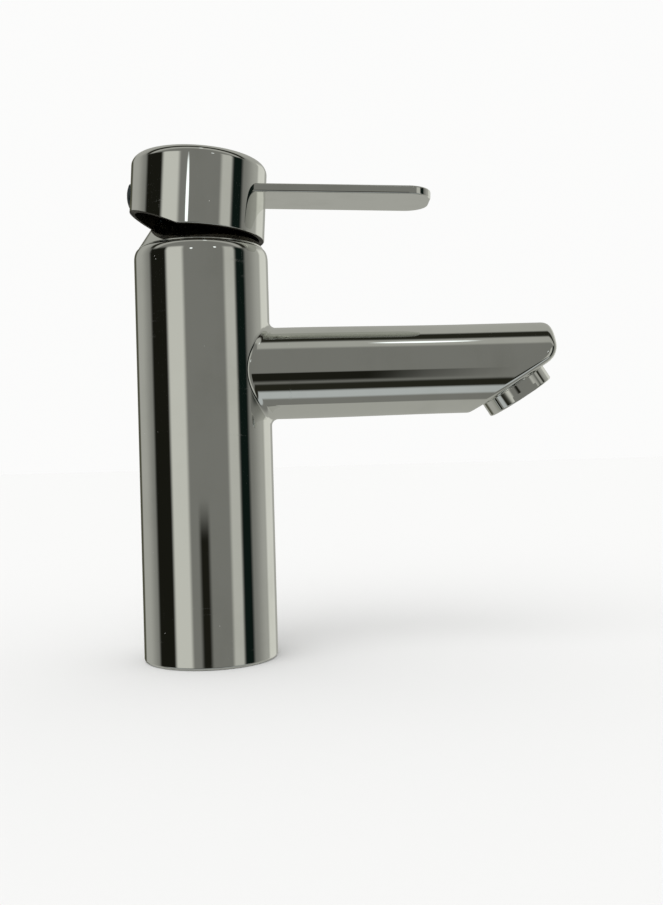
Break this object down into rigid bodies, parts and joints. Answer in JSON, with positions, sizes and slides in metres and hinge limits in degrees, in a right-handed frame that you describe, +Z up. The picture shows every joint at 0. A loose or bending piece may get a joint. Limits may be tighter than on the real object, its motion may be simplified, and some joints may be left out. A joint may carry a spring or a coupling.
{
  "type": "single-lever basin mixer faucet",
  "caption": "Tall round single-lever basin mixer with a straight cylindrical spout cut at a slant over its aerator, and a tilted cap handle with a flat lever blade.",
  "frame": {"origin": "centre of the underside, on the face that stands on the basin", "axes": "+Z up along the body, +X along the spout, +Y towards the hot inlet's side"},
  "size_m": [0.1419, 0.0456, 0.1689],
  "materials": {
    "chrome_body": "polished chrome plate on a brass casting",
    "chrome_bonnet": "polished chrome plate",
    "chrome_handle": "polished chrome plate on a zinc casting",
    "chrome_aerator": "polished chrome plate",
    "plug_plastic": "glossy dark plastic",
    "rubber": "matt black rubber",
    "brass": "machined brass",
    "steel": "machined stainless steel",
    "grey_plastic": "moulded plastic",
    "white_plastic": "moulded plastic",
    "ceramic": "lapped ceramic"
  },
  "bodies": {
    "body": {"body": "chrome_body", "base_seal": "rubber", "bonnet": "chrome_bonnet", "bonnet_oring": "rubber", "cartridge_nut": "brass", "cartridge_housing": "grey_plastic", "cartridge_base": "grey_plastic", "cold_port_seal": "rubber", "hot_port_seal": "rubber", "outlet_port_seal": "rubber", "disc_gasket": "rubber", "fixed_disc": "ceramic", "aerator_housing": "chrome_aerator", "aerator_cup": "white_plastic", "aerator_jet_plate": "grey_plastic", "aerator_screen": "grey_plastic", "aerator_gasket": "rubber"},
    "rotor": {"rotor": "white_plastic", "rotor_oring": "rubber", "pivot_pin": "steel"},
    "lever": {"handle": "chrome_handle", "stem": "steel", "set_screw": "steel", "index_plug": "plug_plastic"},
    "disc": {"disc_carrier": "white_plastic", "moving_disc": "ceramic"}
  },
  "joints": [
    {"name": "lever_turn", "type": "hinge", "parent": "body", "child": "rotor", "pos_m": [0, 0, 0.137], "axis": [0, 0, 1], "range_deg": [-45, 45]},
    {"name": "lever_lift", "type": "hinge", "parent": "rotor", "child": "lever", "pos_m": [0, 0, 0.137], "axis": [0, -1, 0], "range_deg": [0, 25]},
    {"name": "disc_slide", "type": "slide", "parent": "rotor", "child": "disc", "axis": [1, 0, 0], "range_m": [0, 0.0042]}
  ],
  "couplings": [
    {"joint": "disc_slide", "follows": "lever_lift", "m_per_rad": 0.0094}
  ]
}
